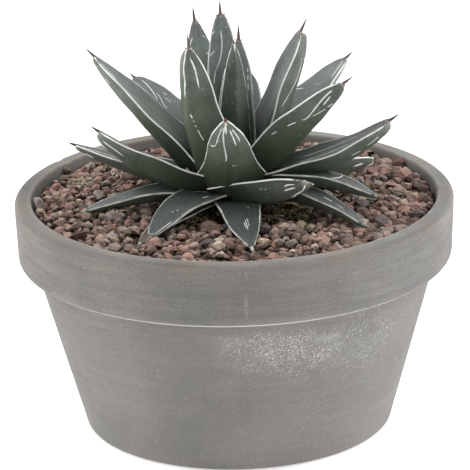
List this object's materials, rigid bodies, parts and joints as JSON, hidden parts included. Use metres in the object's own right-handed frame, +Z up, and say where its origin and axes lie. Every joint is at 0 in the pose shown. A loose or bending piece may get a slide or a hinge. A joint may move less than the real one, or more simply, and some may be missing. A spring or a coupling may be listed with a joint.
{
  "type": "potted agave",
  "caption": "Round clay pan filled with soil and lava gravel, holding a low rosette of stiff keeled agave leaves, each ending in a short spine.",
  "frame": {"origin": "middle of the pan's underside, on the surface that it stands on", "axes": "+Z up along the pan's axis; -Y towards the side that the picture shows; +X to the right in the picture"},
  "size_m": [0.21, 0.21, 0.2032],
  "materials": {
    "fired_clay": "bare fired clay, matt, with a chalky bloom",
    "potting_soil": "dry potting soil, matt",
    "crushed_lava": "crushed lava, rough and matt",
    "stem": "fibrous plant stem, matt",
    "agave_leaf": "thick waxy leaf, satin, with white horny edges and bud prints"
  },
  "bodies": {
    "root": {"pot": "fired_clay", "soil": "potting_soil", "gravel": "crushed_lava", "stem": "stem", "leaf_01": "agave_leaf", "leaf_02": "agave_leaf", "leaf_03": "agave_leaf", "leaf_04": "agave_leaf", "leaf_05": "agave_leaf", "leaf_06": "agave_leaf", "leaf_07": "agave_leaf", "leaf_08": "agave_leaf", "leaf_09": "agave_leaf", "leaf_10": "agave_leaf", "leaf_11": "agave_leaf", "leaf_12": "agave_leaf", "leaf_13": "agave_leaf", "leaf_14": "agave_leaf", "leaf_15": "agave_leaf", "leaf_16": "agave_leaf", "leaf_17": "agave_leaf", "leaf_18": "agave_leaf", "leaf_19": "agave_leaf", "leaf_20": "agave_leaf", "leaf_21": "agave_leaf", "leaf_22": "agave_leaf", "leaf_23": "agave_leaf", "leaf_24": "agave_leaf", "leaf_25": "agave_leaf", "leaf_26": "agave_leaf", "leaf_27": "agave_leaf", "leaf_28": "agave_leaf", "leaf_29": "agave_leaf", "leaf_30": "agave_leaf", "leaf_31": "agave_leaf"}
  },
  "joints": []
}
